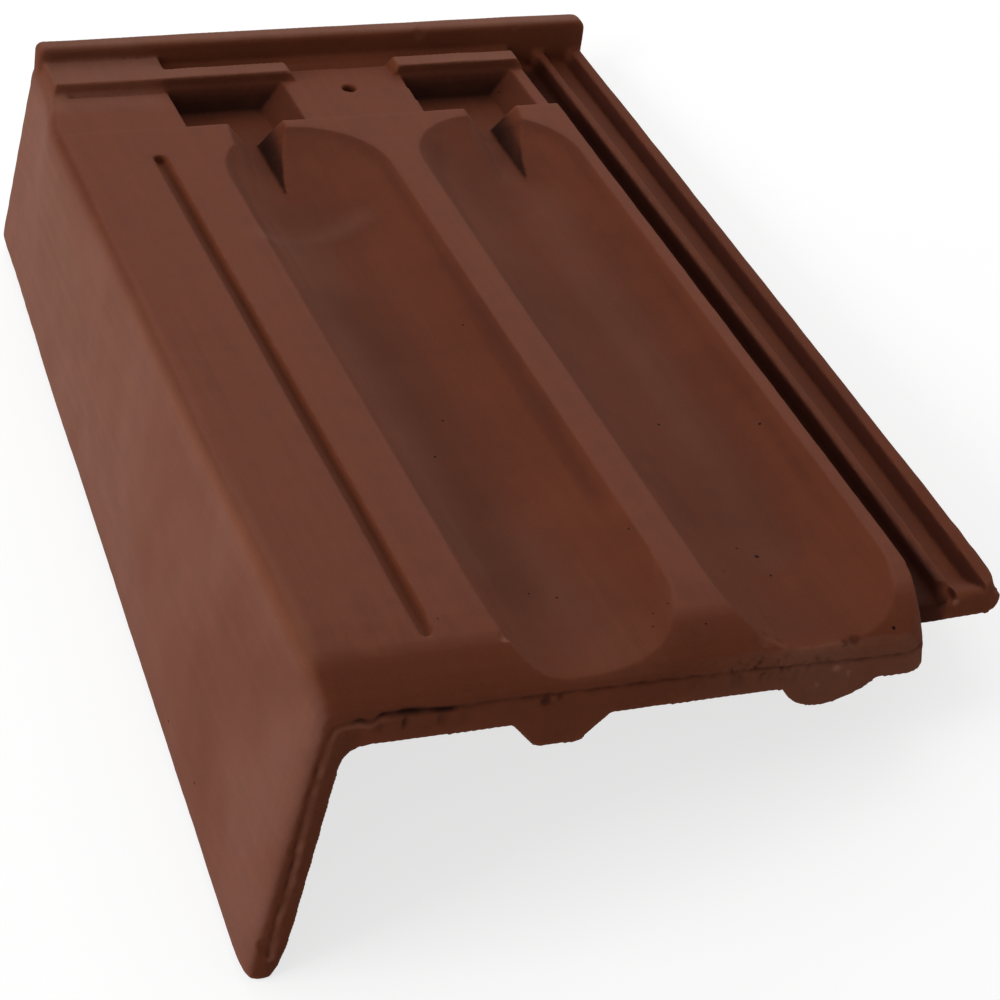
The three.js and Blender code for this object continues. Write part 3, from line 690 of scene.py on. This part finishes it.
def shade_on_flanks(points, facing):
    """How much painted shade darkens the gutter beside the plate, the left flanks of the lock's ribs,
    the right walls of the pockets, streaks in the troughs and their banks round the heads, and how
    much darker the inner strip of the skirt's front is."""
    x, y, z = points.T
    on_lock = (x > PLATE_WIDTH - 0.5) & (y < HEAD_RIM_FRONT)
    flank = smooth_ramp(-facing[:, 0], 0.3, 0.7)
    beside_plate = smooth_ramp(-z, 4.0, 7.0) * (x < PLATE_WIDTH + 12.0)
    shade = on_lock * np.maximum(0.9 * flank, beside_plate)
    for left in POCKETS_LEFT:
        across = (x > left + 30.0) & (x < left + POCKET_WIDTH + 2.0)
        wall = across & (y > POCKET_FRONT) & (y < POCKET_FRONT + POCKET_LENGTH + 1.0)
        shade = np.maximum(shade, 0.45 * wall * flank * (z < -0.5))
    for path, half_width, deep in SHADE_STREAKS:
        streak = deep * bump_at(away_from_path(points, path), half_width)
        shade = np.maximum(shade, streak * smooth_ramp(-z, 0.2, 1.4) * (z > LOWEST_TOP_MARK))
    # painted shade on the banks round the heads of the troughs
    for middle, _, end in TROUGH_LINES:
        away = np.hypot(x - middle, np.maximum(y - end, 0.0))
        arc = bump_at(away - TROUGH_HALF_WIDTH + 2.0, 4.0) * smooth_ramp(y, 300.0, 350.0)
        shade = np.maximum(shade, 0.30 * arc * smooth_ramp(x, middle - 20.0, middle + 10.0))
    inner_front = (y < FRONT_FACE) * (x < 16.0) * smooth_ramp(-from_seam(points), 2.6, 4.2)
    return np.maximum(shade, 0.25 * inner_front)


def chip_the_engobe(points, dark, bare_and_highlight):
    """Adds what the chips uncover or darken, to the painted highlight and shade already given."""
    ragged = 0.4 * soft_noise(points, 1.6, seed=42)
    for place, reach, _, share in CHIPS:
        away = np.linalg.norm(points - np.array(place), axis=1) / reach
        near = smooth_ramp(-away + ragged, -1.0, -0.55)
        bare_and_highlight = np.maximum(bare_and_highlight, share * near)
        dark = np.maximum(dark, -share * near)
    return dark, bare_and_highlight


def paint_wear_and_light(piece):
    """Writes where the engobe is thin or chipped, and where light, sheen and shade are painted, as
    colours on the skin's vertices.
    """
    mesh = piece.data
    points = read_points(mesh)
    normals = read_normals(mesh)
    links = links_of(mesh)
    # where each vertex is and which way the skin faces there, in the tile's own axes
    on_tile = points_on_tile(points)
    facing = normals @ np.array(TO_TILE.to_3x3()).T
    bend = bend_of(points, normals, links)
    flat_top, on_skirt, crest, crease_shade = sheen_wear_and_shade(on_tile, facing, bend)
    _, painted_seam_shade, ridge_highlight = front_seam(on_tile)
    # painted shade in the seam's crack, the pockets and the beaks' sheltered sides
    dark = np.maximum(painted_seam_shade, painted_shade_in_recesses(on_tile, facing))
    dark, bare_and_highlight = chip_the_engobe(on_tile, dark, ridge_highlight)
    painted_light = painted_light_on_ledges(on_tile, facing) * (0.85 + 0.25 * soft_noise(on_tile, 14.0, seed=43))
    shade = shade_on_flanks(on_tile, facing)
    for name, *values in (
        ("engobe_wear", flat_top, on_skirt, crest),
        ("engobe_faults", dark, bare_and_highlight, crease_shade),
        ("engobe_tone", painted_light, shade),
    ):
        channels = np.zeros((len(points), 4), np.float32)
        channels[:, 3] = 1.0
        for channel, value in enumerate(values):
            channels[:, channel] = 0.5 * value + 0.5 * mean_of_neighbours(value, links)
        layer = mesh.attributes.new(name, "FLOAT_COLOR", "POINT")
        layer.data.foreach_set("color", channels.ravel())


# ---- materials --------------------------------------------------------------------------------

# Sizes of the clay's patterns: clouds, mottle, streaks left by the press, and grains of sand
CLOUDS = 62.5
MOTTLE = 12.5
STREAK_WIDTH = 100.0 / 23.0
SAND = 10.0 / 19.0

# The streaks run along the tile for about 150 mm, so their pattern is drawn out by this share
STREAK_SHARE = 0.03

# Scattered pinholes: the way between the places where one may be, the inner and outer edge of its
# border as shares of that, and the share of the places that stay empty
HOLES_APART = 250.0 / 9.0
HOLE_BORDER = (0.014, 0.024)
HOLES_MISSING = 0.55

# Pinholes where grit or air burst in the kiln: place on the tile and radius
PINHOLES = (
    ((189.2, 58.0, -11.0), 1.1),
    ((189.4, 45.9, -11.0), 0.7),
    ((183.7, 63.9, -10.8), 0.6),
    ((170.8, 47.6, -8.0), 0.6),
    ((187.3, 147.1, -11.0), 0.8),
    ((222.4, 131.7, -4.3), 0.8),
    ((219.2, 4.8, -8.6), 0.9),
    ((148.5, 14.5, -4.0), 0.5),
    ((132.6, 24.9, -5.0), 0.45),
    ((130.2, 18.8, -5.9), 0.5),
    ((138.6, 26.4, -2.6), 0.45),
    ((104.0, 163.6, -10.8), 0.7),
    ((92.7, 140.9, -10.9), 0.7),
    ((141.5, 70.5, -1.2), 0.5),
    ((96.6, 52.0, -11.0), 0.5),
    ((105.6, 47.5, -10.7), 0.6),
)


def linear(hex_colour):
    """An sRGB hex colour as linear RGBA."""
    channels = [int(hex_colour[i:i + 2], 16) / 255.0 for i in (1, 3, 5)]
    return [
        c / 12.92 if c <= 0.04045 else ((c + 0.055) / 1.055) ** 2.4 for c in channels
    ] + [1.0]


def grey(value):
    """A linear grey as RGBA."""
    return (value, value, value, 1.0)


def fineness(size):
    """The scale of a pattern whose lumps are a size across, in millimetres."""
    return 1.0 / (size * MM)


def new_material(name):
    """A material with an empty tree, and its tree."""
    material = bpy.data.materials.new(name)
    material.use_nodes = True
    material.node_tree.nodes.clear()
    return material, material.node_tree


def ramp_between(tree, factor, stops):
    """A colour ramp through stops of place and colour."""
    node = add(tree, "ShaderNodeValToRGB", Fac=factor)
    ramp = node.color_ramp
    while len(ramp.elements) > 1:
        ramp.elements.remove(ramp.elements[-1])
    ramp.elements[0].position = stops[0][0]
    ramp.elements[0].color = stops[0][1]
    for place, colour in stops[1:]:
        ramp.elements.new(place).color = colour
    return node.outputs["Color"]


def mixed(tree, factor, one, other, blend="MIX"):
    """One colour with another laid over it, by a factor from 0 to 1."""
    node = add(
        tree, "ShaderNodeMix", {"data_type": "RGBA", "blend_type": blend},
        i0=factor, i6=one, i7=other,
    )
    return node.outputs[2]


def wear_layer(tree, name):
    """The red, green and blue of a layer of wear, as three separate values."""
    layer = add(tree, "ShaderNodeAttribute", {"attribute_name": name})
    return add(tree, "ShaderNodeSeparateColor", Color=layer.outputs["Color"]).outputs


def pinholes(tree, tile):
    """1 in the pinholes of the clay and 0 around them: those in the list, and a sparse scatter."""
    scatter = add(tree, "ShaderNodeTexVoronoi", Vector=tile, Scale=fineness(HOLES_APART)).outputs
    lone = add(tree, "ShaderNodeSeparateColor", Color=scatter["Color"]).outputs["Red"]
    seldom = add(
        tree, "ShaderNodeMath", {"operation": "GREATER_THAN"}, i0=lone, i1=HOLES_MISSING,
    ).outputs[0]
    hole = add(
        tree, "ShaderNodeMapRange",
        Value=scatter["Distance"], i1=HOLE_BORDER[0], i2=HOLE_BORDER[1], i3=1.0, i4=0.0,
    ).outputs["Result"]
    holes = add(tree, "ShaderNodeMath", {"operation": "MULTIPLY"}, i0=hole, i1=seldom).outputs[0]
    for place, radius in PINHOLES:
        away = add(
            tree, "ShaderNodeVectorMath", {"operation": "DISTANCE"},
            i0=tile, i1=tuple(c * MM for c in place),
        ).outputs["Value"]
        hole = add(
            tree, "ShaderNodeMapRange",
            Value=away, i1=0.6 * radius * MM, i2=radius * MM, i3=1.0, i4=0.0,
        ).outputs["Result"]
        holes = add(tree, "ShaderNodeMath", {"operation": "MAXIMUM"}, i0=holes, i1=hole).outputs[0]
    return holes


def inside_troughs(tree, tile):
    """1 inside the outlines of the troughs and 0 around them, with a border 1 mm wide."""
    along = add(tree, "ShaderNodeSeparateXYZ", Vector=tile).outputs
    inside = 0.0
    for middle, start, end in TROUGH_LINES:
        held = add(
            tree, "ShaderNodeClamp", Value=along["Y"], Min=start * MM, Max=end * MM,
        ).outputs["Result"]
        nearest = add(
            tree, "ShaderNodeCombineXYZ", X=middle * MM, Y=held, Z=along["Z"],
        ).outputs["Vector"]
        away = add(
            tree, "ShaderNodeVectorMath", {"operation": "DISTANCE"}, i0=tile, i1=nearest,
        ).outputs["Value"]
        within = add(
            tree, "ShaderNodeMapRange", Value=away,
            i1=(TROUGH_HALF_WIDTH - 0.8) * MM, i2=(TROUGH_HALF_WIDTH + 0.2) * MM, i3=1.0, i4=0.0,
        ).outputs["Result"]
        inside = add(tree, "ShaderNodeMath", {"operation": "MAXIMUM"}, i0=inside, i1=within).outputs[0]
    return inside


def clay_patterns(tree, tile):
    """Clouds and mottle in the engobe, streaks that the press left along the tile, and sand."""
    drawn_out = add(
        tree, "ShaderNodeMapping", Vector=tile, Scale=(1.0, STREAK_SHARE, 1.0),
    ).outputs["Vector"]
    return [
        add(
            tree, "ShaderNodeTexNoise",
            Vector=place, Scale=fineness(size), Detail=detail, Roughness=roughness,
        ).outputs["Fac"]
        for place, size, detail, roughness in (
            (tile, CLOUDS, 2.0, 0.55),
            (tile, MOTTLE, 3.0, 0.6),
            (drawn_out, STREAK_WIDTH, 3.0, 0.55),
            (tile, SAND, 1.0, 0.6),
        )
    ]


def engobed_clay():
    """Roof clay pressed, coated with a dark brown engobe and fired. It is fully matt. Flat ground and
    the skirt are painted paler as sheen and light, recesses and flanks darker as shade, and the engobe
    thins to warmer clay on crests. Sand shows as grain."""
    material, tree = new_material("engobed_fired_clay")
    place = add(tree, "ShaderNodeTexCoord").outputs["Object"]
    tile = add(
        tree, "ShaderNodeMapping",
        Vector=place, Location=tuple(TO_TILE.translation), Rotation=tuple(TO_TILE.to_euler()),
    ).outputs["Vector"]
    flat_top, on_skirt, crest = wear_layer(tree, "engobe_wear")[0:3]
    dark, bare_and_highlight, crease_shade = wear_layer(tree, "engobe_faults")[0:3]
    painted_light, shade = wear_layer(tree, "engobe_tone")[0:2]
    clouds, mottle, streaks, grain = clay_patterns(tree, tile)
    body = ramp_between(tree, clouds, (
        (0.30, linear("#5E2F1D")), (0.50, linear("#63321F")), (0.72, linear("#683521")),
    ))
    # the skirt's side, painted paler as the light and sheen on it
    skirt = ramp_between(tree, clouds, (
        (0.35, linear("#6D4030")), (0.50, linear("#724536")), (0.65, linear("#764A3C")),
    ))
    outside = add(
        tree, "ShaderNodeMath", {"operation": "SUBTRACT"}, i0=1.0, i1=inside_troughs(tree, tile),
    ).outputs[0]
    # flat ground outside the troughs is painted paler as the sheen on it
    land = add(tree, "ShaderNodeMath", {"operation": "MULTIPLY"}, i0=flat_top, i1=outside).outputs[0]
    # in turn: painted sheen and light, worn crests, painted shade, and chips with the ridge's painted
    # highlight
    for share, colour in (
        (land, linear("#703F2E")),
        (on_skirt, skirt),
        (painted_light, linear("#815A4B")),
        (crest, linear("#80492F")),
        (crease_shade, linear("#4E2010")),
        (shade, linear("#3A170C")),
        (dark, linear("#1E0A05")),
        (bare_and_highlight, linear("#9A6552")),
    ):
        body = mixed(tree, share, body, colour)
    for share, pattern, low, high in (
        (0.16, mottle, (0.30, grey(0.36)), (0.70, grey(0.64))),
        (0.12, streaks, (0.35, grey(0.36)), (0.65, grey(0.62))),
        (0.10, grain, (0.35, grey(0.30)), (0.65, grey(0.66))),
    ):
        body = mixed(tree, share, body, ramp_between(tree, pattern, (low, high)), "OVERLAY")
    body = mixed(tree, pinholes(tree, tile), body, linear("#1C0C08"))
    rough = add(tree, "ShaderNodeMapRange", Value=mottle, i3=0.80, i4=0.90).outputs["Result"]
    height = add(
        tree, "ShaderNodeMath", {"operation": "MULTIPLY_ADD"}, i0=mottle, i1=0.6, i2=grain,
    ).outputs[0]
    bump = add(
        tree, "ShaderNodeBump", Height=height, Strength=0.35, Distance=0.2 * MM,
    ).outputs["Normal"]
    shader = add(
        tree, "ShaderNodeBsdfPrincipled",
        Base_Color=body, Roughness=rough, IOR=1.5, Specular_IOR_Level=0.10, Normal=bump,
    )
    add(tree, "ShaderNodeOutputMaterial", Surface=shader.outputs["BSDF"])
    return material


# ---- studio -----------------------------------------------------------------------------------

# How far the floor reaches from the tile, in metres, and the air's own light on the tile
FLOOR_REACH = 4.0
AIR_LIGHT = 0.42

# Soft boxes face a place just above the floor, and all stand as far from it, in metres
TILE_MIDDLE = Vector((0.0, 0.0, 0.06))
BOXES_AWAY = 1.8

# Each soft box: turn and rise in degrees, width and height in metres, and level
SOFT_BOXES = (
    ("window_left", 152.0, 14.0, 1.1, 0.7, 0.18),
    ("skylight_left", 178.0, 35.0, 1.1, 0.7, 0.39),
    ("window_back", 54.0, 13.0, 1.3, 0.7, 0.34),
    ("ceiling", 45.0, 64.0, 1.1, 0.7, 0.15),
)


def floor_paint():
    """Matt white paint. Seen by the camera or in a gloss, most of its white is its own glow, so the
    floor stays pale and only a soft shadow of the tile shows on it."""
    material, tree = new_material("matt_white_floor_paint")
    path = add(tree, "ShaderNodeLightPath").outputs
    seen = add(
        tree, "ShaderNodeMath", {"operation": "MAXIMUM"},
        i0=path["Is Camera Ray"], i1=path["Is Glossy Ray"],
    ).outputs[0]
    paint = add(tree, "ShaderNodeBsdfDiffuse", Color=linear("#E4E4E4")).outputs[0]
    share = add(tree, "ShaderNodeBsdfDiffuse", Color=grey(0.34)).outputs[0]
    glow = add(tree, "ShaderNodeEmission", Color=grey(1.0), Strength=0.72).outputs[0]
    shown = add(tree, "ShaderNodeAddShader", i0=share, i1=glow).outputs[0]
    surface = add(tree, "ShaderNodeMixShader", i0=seen, i1=paint, i2=shown).outputs[0]
    add(tree, "ShaderNodeOutputMaterial", Surface=surface)
    return material


def studio_floor():
    """A square of painted floor that reaches out of view on all sides."""
    mesh = bpy.data.meshes.new("studio_floor")
    corners = [(x * FLOOR_REACH, y * FLOOR_REACH, 0.0) for x, y in ((-1, -1), (1, -1), (1, 1), (-1, 1))]
    mesh.from_pydata(corners, [], [(0, 1, 2, 3)])
    mesh.materials.append(floor_paint())
    floor = put_in_scene("studio_floor", mesh)


def studio_air():
    """White air all round for the camera, also through glass, and a dim even light for all else."""
    world = bpy.data.worlds.new("studio_air")
    bpy.context.scene.world = world
    world.use_nodes = True
    tree = world.node_tree
    tree.nodes.clear()
    path = add(tree, "ShaderNodeLightPath").outputs
    seen = add(
        tree, "ShaderNodeMath", {"operation": "MAXIMUM"},
        i0=path["Is Camera Ray"], i1=path["Is Transmission Ray"],
    ).outputs[0]
    strength = add(tree, "ShaderNodeMapRange", Value=seen, i3=AIR_LIGHT, i4=1.0).outputs["Result"]
    sky = add(tree, "ShaderNodeBackground", Color=grey(1.0), Strength=strength).outputs[0]
    add(tree, "ShaderNodeOutputWorld", Surface=sky)


def soft_box(name, turn, rise, width, height, level):
    """A soft box that faces the tile's middle, with its turn and rise as seen from there. A white
    card that faces it would show the level, from 0 to 1, under it alone."""
    data = bpy.data.lights.new(name, "AREA")
    data.shape = "RECTANGLE"
    data.size = width
    data.size_y = height
    data.energy = level * (math.pi * BOXES_AWAY) ** 2
    lamp = put_in_scene(name, data)
    turn, rise = math.radians(turn), math.radians(rise)
    towards = Vector((math.cos(rise) * math.cos(turn), math.cos(rise) * math.sin(turn), math.sin(rise)))
    lamp.location = TILE_MIDDLE + towards * BOXES_AWAY
    lamp.rotation_euler = towards.to_track_quat("Z", "Y").to_euler()


def make_studio():
    """The floor, the air and the soft boxes round the tile."""
    studio_floor()
    studio_air()
    for box in SOFT_BOXES:
        soft_box(*box)
    bpy.context.scene.view_settings.view_transform = "Standard"


# ---- putting it together ----------------------------------------------------------------------

clay = engobed_clay()
crumbs = crumb_tree()
tile = soft_skin([
    crumbs_along(SEAM_LINE, crumbs, clay, step=2.6, radius=0.6, scatter=0.5, seed=31),
    crumbs_along(FOLD_CREST, crumbs, clay, step=3.8, radius=0.5, scatter=0.5, seed=33),
])
soften(tile)
hand_of_the_press(tile)
thin_out(tile)
drop_loose_bits(tile)
paint_wear_and_light(tile)
tile.data.materials.clear()
tile.data.materials.append(clay)
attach(tile, "root")
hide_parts(TILE_NODE)

make_studio()
